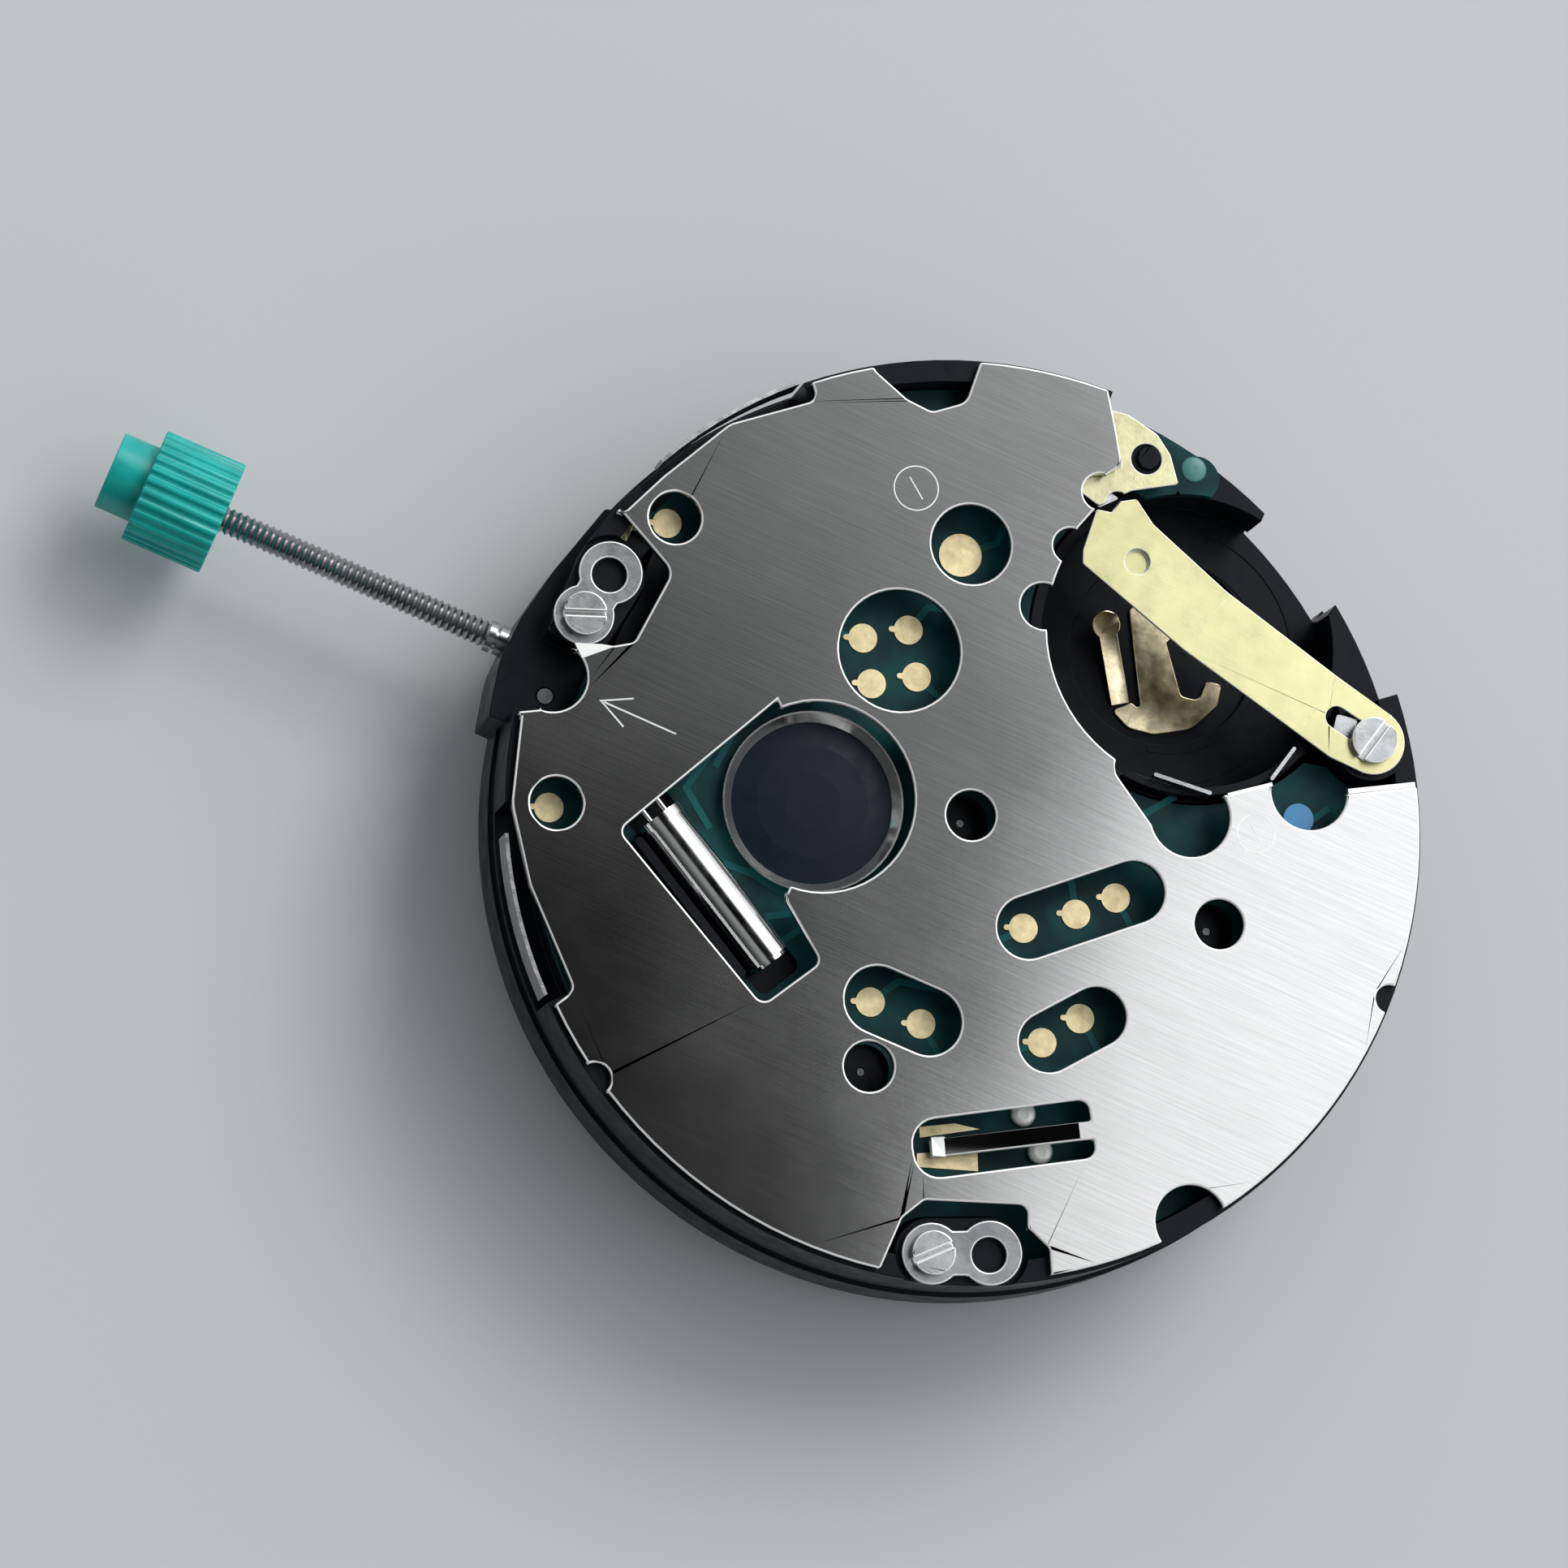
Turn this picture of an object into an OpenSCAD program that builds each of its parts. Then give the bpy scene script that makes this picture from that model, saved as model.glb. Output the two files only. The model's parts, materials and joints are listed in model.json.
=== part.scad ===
// Quartz chronograph watch movement, 30 mm, with its setting stem and crown.
// Origin: the hand axis at the dial seat. +Z points to the back (battery) side,
// +X along the stem to the crown at 3 o'clock, +Y to 6 o'clock.

/* [Case fit] */
// Outer radius of the main plate
base_r = 15; // [14.9:0.05:15.1]
// Height of the cover plate's outer face above the dial seat
cover_top = 5.2; // [5.15:0.05:5.3]
// Thickness of the cover plate
cover_t = 0.35; // [0.25:0.05:0.4]
// Radius of the cover plate's rim
cover_r = 14.75; // [14.6:0.05:14.8]

/* [Battery] */
// Radius of the battery well
well_r = 4.85; // [4.8:0.01:4.88]
// Height of the battery well's floor above the dial seat
well_floor = 1.2; // [1.15:0.05:1.3]

/* [Stem and crown] */
// Height of the stem's axis above the dial seat
stem_z = 1.2; // [1.18:0.01:1.22]
// Radius of the stem where it runs in the main plate
stem_r = 0.5; // [0.48:0.01:0.5]
// Crest radius of the stem's thread
thread_r = 0.45; // [0.4:0.01:0.45]
// Pitch of the stem's thread
thread_pitch = 0.225; // [0.2:0.005:0.25]
// Distance from the hand axis to the crown's inner face
crown_x = 25.3; // [20:0.1:28]
// Length of the crown's ribbed grip
crown_len = 2.7; // [2.2:0.1:3.2]
// Radius of the crown over its ribs
crown_r = 1.87; // [1.5:0.01:2]
// Number of ribs round the crown
crown_ribs = 30; // [20:1:40]

/* [Circuit] */
// Height of the circuit board's upper face
board_top = 3.9; // [3.88:0.01:3.92]
// Radius of the quartz crystal's can
crystal_r = 0.73; // [0.6:0.01:0.74]

/* [Wheels] */
// Face width of the train wheels
wheel_t = 0.12; // [0.1:0.01:0.14]
// Running clearance of a pivot in its hole
pivot_gap = 0.03; // [0.02:0.005:0.04]

/* [Hidden] */
$fn = 64;
eps = 0.01;
big = 40;

// Levels above the dial seat
cover_low = cover_top - cover_t;
board_low = board_top - 0.3;
bridge_low = 3.35;
bridge_top = 3.58;
floor_top = 2;
motion_top = 0.93;
seat_t = 0.2;
wall_r = base_r - 0.13;
ledge_r = 13.2;
board_r = 14.1;

// Battery well
well = [-4.7, -8.5];
recess = [-4.4, -8.6];
recess_r = 3.1;
recess_floor = 0.95;
// Relief below the part of the wall that guides the battery
well_relief = 1.8;
well_relief_r = 5.02;
// Ends of the two sprung strips that touch the battery's side
side_springs = [[[-6.95, -3.93], [-5.1, -3.76]], [[-8.98, -6.4], [-8.66, -5.2]]];
side_spring_half = 0.06;

// Axes of the wheels; [x, y]
hands = [0, 0];
seconds_at = [0, 8.7];
counter_at = [-8.7, 0];
third_at = [0.98, 4.391];
idler_at = [-4.309, 0.98];
time_mid_at = seconds_at + 2.64 * [cos(160), sin(160)];
time_rotor_at = time_mid_at + 2.1 * [cos(205), sin(205)];
chrono_mid_at = 2.64 * [cos(-70), sin(-70)];
chrono_rotor_at = chrono_mid_at + 2.1 * [cos(-60), sin(-60)];
minute_at = 3 * [cos(-25), sin(-25)];
setting_at = minute_at + 3.75 * [cos(10), sin(10)];

// Arbors that carry the hands: each has a thinner end for its hand below a shoulder
hour_end_r = 0.8;
hour_shoulder_r = 0.96;
minute_end_r = 0.45;
cannon_r = 0.62;
chrono_end_r = 0.12;
chrono_arbor_r = 0.29;
dial_end_r = 0.15;
dial_arbor_r = 0.31;

// Motor coils: centre, and direction of the winding's axis
time_coil_at = 11.8 * [cos(130), sin(130)];
time_coil_dir = 40;
chrono_coil_at = 11.5 * [cos(-50), sin(-50)];
chrono_coil_dir = 40;
coil_len = 5.6;

// Setting lever: pivot, and the distance from it to the finger in the stem's groove
lever_at = [13.8, 1.6];
lever_reach = 1.1;
stem_travel = 1.1;
groove_x = lever_at[0] - stem_travel / 2;

// Screws: [x, y]
strap_screw_at = [-11.22, -7.6];
clamp_screw_at = [[13.75, -1], [-4.05, 13.35]];
clamp_post_at = [[13.48, -2.6], [-5.77, 12.6]];
bridge_screw_at = [[8.6, -3.4], [9.4, 8], [-11.4, 4.4]];
motion_screw_at = [for (a = [75, 165, 285, 345]) 12.9 * [cos(a), sin(a)]];
centre_post_at = [[-4.7, -1.7], [4.5, -2.3]];
contact_post_at = [-1.14, -13.36];
contact_post_r = 0.72;
contact_plate_low = 4.5;
contact_plate_t = 0.18;

// ---- Helpers ----

function unit(v) = v / norm(v);

// Points of the arc that rounds corner p1 of an outline with radius r
function fillet(p0, p1, p2, r, n = 6) =
    let (u = unit(p0 - p1), v = unit(p2 - p1), half = acos(u * v) / 2,
        c = p1 + unit(u + v) * r / sin(half), s = p1 + u * r / tan(half) - c, e = p1 + v * r / tan(half) - c,
        a0 = atan2(s[1], s[0]), turn = atan2(e[1], e[0]) - a0,
        sweep = turn > 180 ? turn - 360 : turn < -180 ? turn + 360 : turn)
    [for (i = [0:n]) c + r * [cos(a0 + sweep * i / n), sin(a0 + sweep * i / n)]];

// Closed outline from [x, y, corner radius] points
function rounded(pts) = [for (i = [0:len(pts) - 1])
    let (n = len(pts), p = pts[i], a = pts[(i + n - 1) % n], b = pts[(i + 1) % n])
    each p[2] > 0 ? fillet([a[0], a[1]], [p[0], p[1]], [b[0], b[1]], p[2]) : [[p[0], p[1]]]];

module outline(pts) polygon(rounded(pts));

// Straight finger from p to q with rounded corners, of half width r
module finger(p, q, r, corner) {
    d = unit(q - p);
    s = [-d[1], d[0]];
    outline([for (k = [[-1, -1], [1, -1], [1, 1], [-1, 1]])
        let (c = (k[0] < 0 ? p : q) + k[0] * r * d + k[1] * r * s) [c[0], c[1], corner]]);
}

// Flat part between two levels
module layer(low, high) translate([0, 0, low]) linear_extrude(high - low) children();

// Straight bar with round ends from p to q, of half width r
module bar(p, q, r) {
    translate(p) circle(r);
    translate(q) circle(r);
    a = atan2(q[1] - p[1], q[0] - p[0]);
    translate(p) rotate(a) translate([0, -r]) square([norm(q - p), 2 * r]);
}

// Rod along Z at p
module rod(p, r, low, high) translate([p[0], p[1], low]) cylinder(r = r, h = high - low);

// Pie slice between two angles, from radius r0 out to r1
module slice(a0, a1, r0, r1) difference() {
    polygon([[0, 0], for (i = [0:8]) r1 * 1.2 * [cos(a0 + (a1 - a0) * i / 8), sin(a0 + (a1 - a0) * i / 8)]]);
    circle(r0);
}

// Toothed outline: z teeth of module m, one tooth centred on angle phase
function tooth_ring(z, m, phase) = [for (i = [0:z - 1], k = [0:3])
    let (side = [-0.28, -0.1, 0.1, 0.28][k], r = m * z / 2 + (k == 0 || k == 3 ? -m : 0.7 * m),
        a = phase + (i + side) * 360 / z)
    r * [cos(a), sin(a)]];

// Angle of a tooth on wheel b that meshes with wheel a, whose centre lies at angle towards - 180 from b
function mesh_phase(za, phase_a, zb, towards) =
    towards + 180 - (phase_a - towards) * za / zb - 180 / zb;

// Solid middle of a wheel with windows
hub_r = 1.05;

function heading(p, q) = atan2(q[1] - p[1], q[0] - p[0]);

// Wheel blank with teeth and five crossed windows when it is large
module toothed(z, m, phase, low, high) layer(low, high) difference() {
    polygon(tooth_ring(z, m, phase));
    web = m * z / 2 - 3 * m - 0.25;
    if (web > 1.5) for (i = [0:4]) rotate(i * 72 + 36)
        translate([(web + hub_r) / 2, 0]) circle((web - hub_r) / 2 * 0.62);
}

// Slotted round screw head with its thread below, head seat at level seat
module slotted_screw(p, head_r, head_h, shank_r, seat, tip, slot_angle) difference() {
    union() {
        rod(p, head_r, seat, seat + head_h);
        rod(p, shank_r, tip, seat + eps);
    }
    translate([p[0], p[1], seat + head_h * 0.3]) rotate(slot_angle)
        translate([-head_r * 1.1, -head_r * 0.13, 0]) cube([head_r * 2.2, head_r * 0.26, head_h]);
}

// ---- Main plate and bridges ----

// Edge of the plate where the two push-pieces act, at 4 and 2 o'clock
module pusher_bays() for (s = [1, -1]) slice(s * 22, s * 47, 13.9, 20);

module clamp_seats() {
    for (i = [0, 1]) bar(clamp_screw_at[i], clamp_post_at[i], 1.2);
}

module well_mouth() polygon([[-5.5, -20], [-5.5, -12.4], [-8.55, -10.9], [-8.75, -11.7], [-11.5, -20]]);

// Low rim from the contact plate round to the strap's screw
module battery_rim() slice(219.5, 273, 0, 20);

module plate_body() {
    rod(hands, base_r, 0, floor_top);
    layer(floor_top - eps, board_low) difference() {
        circle(wall_r, $fn = 180);
        circle(ledge_r, $fn = 180);
    }
    layer(board_low - eps, cover_low) difference() {
        circle(wall_r, $fn = 180);
        circle(board_r + 0.05, $fn = 180);
    }
    // Wall and collar of the battery well
    rod(well, well_r + 0.38, floor_top - eps, board_low);
    rod(well, well_r + 0.28, board_low - eps, board_top + 0.5);
    // Guide block of the stem
    layer(seat_t, 3.4)
        outline([[12.6, -4.2, 0], [14, -4.9, 0.1], [14.33, -4.8, 0.1], [15.08, -2.28, 2], [15.46, -0.45, 2],
            [15.55, 1.2, 2], [15.2, 2.9, 0.1], [12.6, 2.9, 0]]);
    // Seats of the case clamps, the strap and the contact plate
    for (i = [0, 1]) layer(floor_top - eps, cover_low - 0.35) intersection() {
        bar(clamp_screw_at[i], clamp_post_at[i], 1.15);
        circle(wall_r);
    }
    rod(strap_screw_at, 1.25, floor_top - eps, cover_low);
    rod(contact_post_at, contact_post_r, floor_top - eps, contact_plate_low);
    rod(contact_post_at, 0.38, contact_plate_low - eps, contact_plate_low + contact_plate_t);
    // Posts of the two bridges
    for (p = bridge_screw_at) rod(p, 0.8, floor_top - eps, bridge_low);
    for (p = centre_post_at) rod(p, 0.42, floor_top - eps, 2.35);
}

module main_plate() color("#14171b") difference() {
    plate_body();
    // Battery well with the contact's recess
    rod(well, well_r, well_floor, big);
    rod(well, well_relief_r, well_floor, well_relief);
    rod(recess, recess_r, recess_floor, big);
    layer(well_floor, big) well_mouth();
    layer(well_floor, big) difference() {
        intersection() { battery_rim(); circle(20); }
        circle(14.65, $fn = 180);
    }
    layer(-eps, big) difference() {
        intersection() { well_mouth(); circle(20); }
        circle(14.5, $fn = 180);
    }
    layer(board_low, big) difference() {
        battery_rim();
        translate(well) circle(well_r);
        translate(contact_post_at) circle(contact_post_r);
    }
    // Bays of the push-pieces and of the stem, and the recesses of the clamps
    layer(2.6, big) pusher_bays();
    layer(3.4, big) translate([12.2, -0.1]) square([4, 2.75]);
    layer(3.4, big) translate([14.6, -4.2]) square([2, 4.5]);
    layer(cover_low - 0.35, big) clamp_seats();
    // Seat of the motion work cover, and room for the motion work
    rod(hands, 14.45, -eps, seat_t);
    rod(hands, 2.75, seat_t - eps, motion_top);
    rod(minute_at, 2.55, seat_t - eps, motion_top);
    rod(setting_at, 1.75, seat_t - eps, motion_top);
    // Stem bore, sliding pinion, yoke and setting lever
    translate([10, 0, stem_z]) rotate([0, 90, 0]) cylinder(r = stem_r + pivot_gap, h = 8);
    translate([6.6, 0, stem_z]) rotate([0, 90, 0]) cylinder(r = 0.25 + pivot_gap, h = 2);
    layer(seat_t - eps, 2.3) translate([8.2, -1.15]) square([2.4, 2.3]);
    layer(seat_t - eps, 0.6) translate([8.25, -3.3]) square([1.5, 2.4]);
    layer(seat_t - eps, 1.55) bar([13.2, 0.6], [14.1, 0.6], 0.62);
    layer(seat_t - eps, 1.55) bar([13.1, 1.1], lever_at, 0.72);
    rod(lever_at, 0.25 + pivot_gap, 1.5, big);
    // Arbor and pivot holes
    rod(hands, cannon_r + pivot_gap, motion_top - eps, floor_top + eps);
    for (p = [seconds_at, counter_at]) rod(p, dial_arbor_r + pivot_gap, seat_t - eps, floor_top + eps);
    for (p = [third_at, idler_at, time_mid_at, time_rotor_at, chrono_rotor_at])
        rod(p, 0.12 + pivot_gap, 1.6, floor_top + eps);
    for (p = [minute_at, setting_at]) rod(p, 0.15 + pivot_gap, motion_top - eps, 1.3);
    // Screw holes
    for (p = clamp_screw_at) rod(p, 0.32, 2.6, big);
    rod(strap_screw_at, 0.32, 2.6, big);
    for (p = bridge_screw_at) rod(p, 0.25, 2.2, big);
    for (p = motion_screw_at) rod(p, 0.25, -eps, 1.5);
}

module motion_work_cover() color("#b9bcc0") layer(0.02, seat_t) difference() {
    circle(14.4, $fn = 180);
    circle(hour_shoulder_r + 0.1);
    for (p = [seconds_at, counter_at]) translate(p) circle(0.4);
    for (p = motion_screw_at) translate(p) circle(0.3);
    for (p = [minute_at, setting_at]) translate(p) circle(0.12 + pivot_gap);
    well_mouth();
}

module motion_cover_screws() color("#8d9095") for (p = motion_screw_at) {
    rod(p, 0.24, 0.02, 1.4);
}

// Room that the bridge and the board leave for the battery and its rim
module battery_opening() {
    translate(well) circle(well_r + 0.5);
    translate(contact_post_at) circle(0.9);
    polygon([[-9.4, -6.3], [-15, -7.6], [-12, -16], [-0.6, -16], [-0.6, -10.5], [-4, -8]]);
}

module train_bridge() color("#1b1e22") layer(bridge_low, bridge_top) difference() {
    circle(13.1, $fn = 180);
    battery_opening();
    for (p = [third_at, idler_at, time_mid_at, time_rotor_at, chrono_rotor_at, chrono_mid_at,
        seconds_at, counter_at, hands]) translate(p) circle(0.12 + pivot_gap);
    for (p = bridge_screw_at) translate(p) circle(0.42);
    for (i = [0, 1]) bar(clamp_screw_at[i], clamp_post_at[i], 1.25);
    translate([12.4, -4.4]) square([4, 7.6]);
    translate(strap_screw_at) circle(1.35);
}

module centre_bridge() color("#c9a64d") layer(2.35, 2.5) difference() {
    union() {
        bar(hands, centre_post_at[0], 0.75);
        bar(hands, centre_post_at[1], 0.75);
        bar(hands, chrono_mid_at, 0.6);
    }
    circle(chrono_arbor_r + pivot_gap);
    translate(chrono_mid_at) circle(0.12 + pivot_gap);
}

module bridge_screws() color("#8d9095") for (p = bridge_screw_at) {
    rod(p, 0.41, 3.38, 3.56);
    rod(p, 0.24, 2.3, 3.4);
}

// ---- Circuit ----

crystal_from = [4.15, 6.72];
crystal_to = [9.12, 3.9];
chip_at = [4.72, 1.45];

module circuit_board() color("#0f4a52") layer(board_low, board_top) difference() {
    union() {
        difference() {
            circle(board_r, $fn = 180);
            battery_opening();
        }
        intersection() {
            circle(14.55, $fn = 180);
            slice(259, 272.5, 12.4, 20);
        }
        translate([-2.95, -13.6]) circle(0.75);
    }
    translate(well) circle(well_r + 0.02);
    pusher_bays();
    finger(crystal_from, crystal_to, crystal_r + 0.08, 0.3);
    circle(0.85);
    for (p = [seconds_at, counter_at]) translate(p) circle(0.85);
    for (i = [0, 1]) bar(clamp_screw_at[i], clamp_post_at[i], 1.25);
    translate([12.9, -4.3]) square([4, 7.4]);
    translate([11.4, -4.4]) square([2, 4.2]);
    translate(strap_screw_at) circle(1.35);
    translate(contact_post_at) circle(0.9);
}

pad_r = 0.47;
round_pads = [[3.11, -3.74], [4.37, -2.94], [5.18, -4.2], [3.92, -5.05], [12.37, 4.97], [12.37, -5.05],
    [-1.16, 6.58], [0.6, 6.58], [-4.99, 5.57], [-5.84, 4.36], [-3.08, 2.4], [-4.49, 1.29], [-5.49, 0.28]];
large_pad = [3.27, -8.02];

// Contact pads of the board; each round one has the stub of its track
module test_pads() color("#c8b48a") layer(board_top, board_top + 0.04) {
    for (p = round_pads) {
        translate(p) circle(pad_r);
        bar(p, p + (pad_r + 0.08) * [0.94, 0.34], 0.09);
    }
    translate(large_pad) circle(0.7);
    polygon([[-4.59, 10.2], [-2.72, 10.85], [-2.57, 10.45], [-4.33, 9.6]]);
    polygon([[-4.14, 8.94], [-2.47, 9.95], [-2.32, 9.65], [-3.33, 9.09]]);
}

crystal_z = 4.36;

module along(p, q, z) translate([p[0], p[1], z]) rotate([0, 90, heading(p, q)]) children();

module quartz_crystal() color("#c9ccd0") {
    length = norm(crystal_to - crystal_from);
    difference() {
        union() {
            along(crystal_from, crystal_to, crystal_z) {
                cylinder(r = crystal_r, h = length - 0.3);
                translate([0, 0, length - 0.3 - eps]) cylinder(r = crystal_r + 0.05, h = 0.3);
            }
            along(crystal_from, crystal_to, crystal_z)
                translate([0, 0, -0.12]) cylinder(r = crystal_r - 0.12, h = 0.2);
            for (s = [-0.3, 0.3]) along(crystal_from, crystal_to, crystal_z)
                translate([0, s, length - eps]) cylinder(r = 0.09, h = 0.45);
        }
        rod(crystal_to, 3, -1, board_low + 0.005);
    }
}

module crystal_cradle() color("#1b1e22") {
    dir = unit(crystal_to - crystal_from);
    side = [-dir[1], dir[0]];
    layer(board_top, 4.6) {
        bar(crystal_from + side * 1.02 + dir * 0.2, crystal_to + side * 1.02 - dir * 0.3, 0.14);
    }
}

module chip_dam_ring() color("#e6e6e2") translate([chip_at[0], chip_at[1], board_top]) rotate_extrude()
    polygon([[2.6, 0], [2.92, 0], [2.92, 0.42], [2.86, 0.42], [2.6, 0.14]]);

module chip_potting() color("#26292c") translate([chip_at[0], chip_at[1], board_top]) rotate_extrude()
    polygon([[0, 0], [2.59, 0], [2.59, 0.13], [1.8, 0.24], [0.9, 0.29], [0, 0.3]]);

// ---- Cover plate ----

cover_hole_r = 0.8;

module cover_openings() {
    // Hand-axis and sub-dial holes
    for (p = [hands, seconds_at + [0.05, 0.05], counter_at]) translate(p) circle(cover_hole_r);
    // Holes over the test pads
    for (s = [1, -1]) translate([12.3, s * 5]) circle(0.84);
    translate([4.08, -4]) circle(1.97);
    translate([3.23, -8.15]) circle(1.3);
    bar([-1.18, 6.67], [0.57, 6.67], 1.07);
    bar([-6.12, 4.35], [-4.97, 5.75], 0.95);
    bar([-5.77, 0.15], [-3.02, 2.6], 1);
    // Window over the chip and the crystal
    translate([4.68, 1.4]) circle(3.05, $fn = 96);
    outline([[2.7, 6.3, 0.3], [3.9, 8.3, 0.35], [10.15, 5, 0.3], [7.1, -0.9, 0],
        [4.5, 1.4, 0], [4.5, 4.9, 0.3]]);
    // Window of the long spring tongue, with a slot on each side of its root
    difference() {
        outline([[-1.79, 9.86, 0.8], [-6.8, 6.92, 0.35], [-7.73, 8.52, 0.35], [-2.73, 11.45, 0.8]]);
        translate(tongue_root) rotate(tongue_turn) square([0.5, tongue_w], center = true);
    }
}

tongue_root = [-7.15, 7.86];
tongue_tip = [-2.99, 10.14];
tongue_w = 0.58;
tongue_turn = heading(tongue_root, tongue_tip);

// Tongue bent down from the cover towards the board
module spring_tongue() hull() {
    layer(cover_top - 0.22, cover_top) translate(tongue_root) rotate(tongue_turn)
        square([0.5, tongue_w], center = true);
    layer(4.05, 4.2) translate(tongue_tip) rotate(tongue_turn) square([0.3, tongue_w], center = true);
}

module battery_side_cut() {
    translate(well) circle(well_relief_r, $fn = 96);
    translate([-6.57, -2.85]) circle(1.3);
    translate([-9.87, -5.2]) circle(1.25);
    outline([[-13.1, -6.8, 0.12], [-11.1, -5.65, 0.15], [-8.6, -4.95, 0.12], [-7.35, -3.95, 0.1],
        [-5.9, -1.85, 0], [-3.6, -3.3, 0.6], [-4.7, -8.5, 0], [-11, -18, 0], [-18, -9, 0]]);
    outline([[-4.7, -8, 0], [-0.3, -6.4, 0.1], [0.23, -7.2, 0], [0.23, -9, 0], [0.23, -10.1, 0.1],
        [-0.05, -10.9, 0.1], [0, -12.15, 0.1], [-0.35, -12.6, 0.25], [0.35, -13.75, 0.3], [1.1, -14.9, 0],
        [1.4, -18, 0], [-12, -18, 0]]);
    translate([0.33, -7.25]) circle(0.75);
    translate([0.23, -9.45]) circle(0.58);
    translate([-0.02, -11.5]) circle(0.6);
}

module rim_cuts() {
    // Lobe over the setting lever's post, and the recess of the clamp beside it
    translate([13.97, 1.33]) circle(1.13);
    outline([[13.97, 0.2, 0], [16, 0.2, 0], [16, 2.9, 0], [14.5, 2.8, 0.1], [13.9, 2.46, 0]]);
    outline([[16, 0.35, 0], [13.6, 0.22, 0.1], [12.5, -0.4, 0.3], [11.98, -0.75, 0.3], [11.72, -3.35, 0.5],
        [12.7, -3.85, 0.4], [13.9, -4.45, 0.15], [16, -4.6, 0]]);
    // Flats at the push-pieces
    outline([[16, -4.4, 0], [13.85, -4.5, 0.2], [13.15, -6.1, 1.5], [11.85, -8.55, 1], [9.55, -10.45, 0.3],
        [10.1, -11.1, 0.1], [12, -13, 0]]);
    outline([[16, 2.6, 0], [14.38, 2.9, 0], [13.6, 5.6, 1.5], [12.1, 7.75, 1], [9.55, 10.25, 0.35],
        [10.05, 11.1, 0.1], [12, 13, 0]]);
    // Clamp at 6 o'clock
    outline([[-8.4, 16, 0], [-7.74, 12.5, 0.3], [-7.4, 11.8, 0.3], [-6.5, 11.45, 0.15], [-6.25, 10.8, 0.3],
        [-3.15, 11.95, 0.3], [-2.7, 12.75, 0.3], [-2.6, 16, 0]]);
    // Notches in the rim
    outline([[6.1, -20, 0], [5.15, -20, 0], [5.15, -13.6, 0], [5.1, -12.4, 0.5], [6, -11.65, 0.4],
        [6.9, -11.7, 0.4], [8.1, -12.1, 0.3], [9.5, -13, 0]]);
    translate([7.88, 12.55]) circle(0.5);
    outline([[7.88, 12.1, 0], [7.45, 12.75, 0], [8.4, 14.3, 0], [9.1, 13, 0]]);
    translate([-11.3, 9.2]) circle(1.15);
    translate([-14.72, 0]) circle(0.45);
}

module cover_plate() color("#8f9194") {
    layer(cover_low, cover_top) difference() {
        circle(cover_r, $fn = 240);
        battery_side_cut();
        rim_cuts();
        cover_openings();
    }
    spring_tongue();
}

// ---- Clamps and fasteners ----

module case_clamps() color("#7f8286")
    for (i = [0, 1]) layer(cover_low - 0.33, cover_low - 0.02) difference() {
        union() {
            bar(clamp_screw_at[i], clamp_post_at[i], 0.7);
            translate(clamp_screw_at[i]) circle(0.97);
            translate(clamp_post_at[i]) circle(1.02);
        }
        translate(clamp_screw_at[i]) circle(0.36);
        translate(clamp_post_at[i] + [0.02, 0.08]) circle(0.56);
    }

module clamp_screws() color("#b9bcbf") for (i = [0, 1])
    slotted_screw(clamp_screw_at[i], 0.7, 0.32, 0.31, cover_low - 0.02, 2.8, [22, 45][i]);

module strap_screw() color("#b9bcbf")
    slotted_screw(strap_screw_at, 0.75, 0.3, 0.31, strap_low + strap_t + 0.01, 2.8, 75);

strap_low = 4.93;
strap_t = 0.15;

module battery_strap() color("#cfc98f") {
    layer(strap_low, strap_low + strap_t) difference() {
        union() {
            translate(strap_screw_at) circle(1.08);
            outline([[-11.3, -6.52, 0], [-10.1, -6.55, 0.6], [-4.4, -7.85, 2], [-0.35, -9.1, 0.12],
                [-0.2, -9.5, 0.1], [-0.12, -10.95, 0.1], [-0.6, -11.05, 0.08], [-0.72, -11.5, 0.1],
                [-1.2, -11.8, 0.1], [-2.02, -11.25, 0.5], [-5.02, -10.2, 2], [-9.3, -9.13, 2],
                [-11.5, -8.65, 0]]);
        }
        translate(strap_screw_at) circle(0.4);
        bar([-9.85, -7.85], strap_screw_at, 0.36);
        translate([-1.97, -9.9]) circle(0.42);
    }
    translate([-1.97, -9.9, strap_low - 0.14]) difference() {
        cylinder(r = 0.6, h = 0.15);
        translate([0, 0, 0.06]) cylinder(r = 0.42, h = 0.2);
    }
}

module strap_earth_tab() color("#c4c7ca") layer(cover_low + 0.005, strap_low - 0.01)
    outline([[-10.55, -8.1, 0.08], [-9.85, -8.0, 0.1], [-9.95, -7.3, 0.1], [-10.6, -7.25, 0.08]]);

module contact_plate() color("#cdbb7e")
    layer(contact_plate_low, contact_plate_low + contact_plate_t) difference() {
    outline([[-2.35, -12.95, 0.1], [-1, -12.1, 0.4], [-0.2, -11.2, 0.2], [0.65, -11.4, 0.2],
        [0.65, -14.3, 0.1], [0, -14.4, 0.2], [-1.1, -14.2, 0.5], [-1.75, -13.75, 0.4]]);
    translate(contact_post_at + [0.07, 0.08]) circle(0.5);
    translate([-0.75, -11.5]) circle(0.42);
}

module contact_spring() color("#c4c7ca") layer(4.1, 4.5)
    outline([[-0.75, -11.75, 0.05], [-0.25, -11.2, 0.1], [0.35, -11.35, 0.1], [-0.1, -11.85, 0.1]]);

module battery_side_springs() color("#c4c7ca") layer(board_top + 0.5, cover_low - 0.05)
    for (b = side_springs) bar(b[0], b[1], side_spring_half);

contact_t = 0.15;

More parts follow.
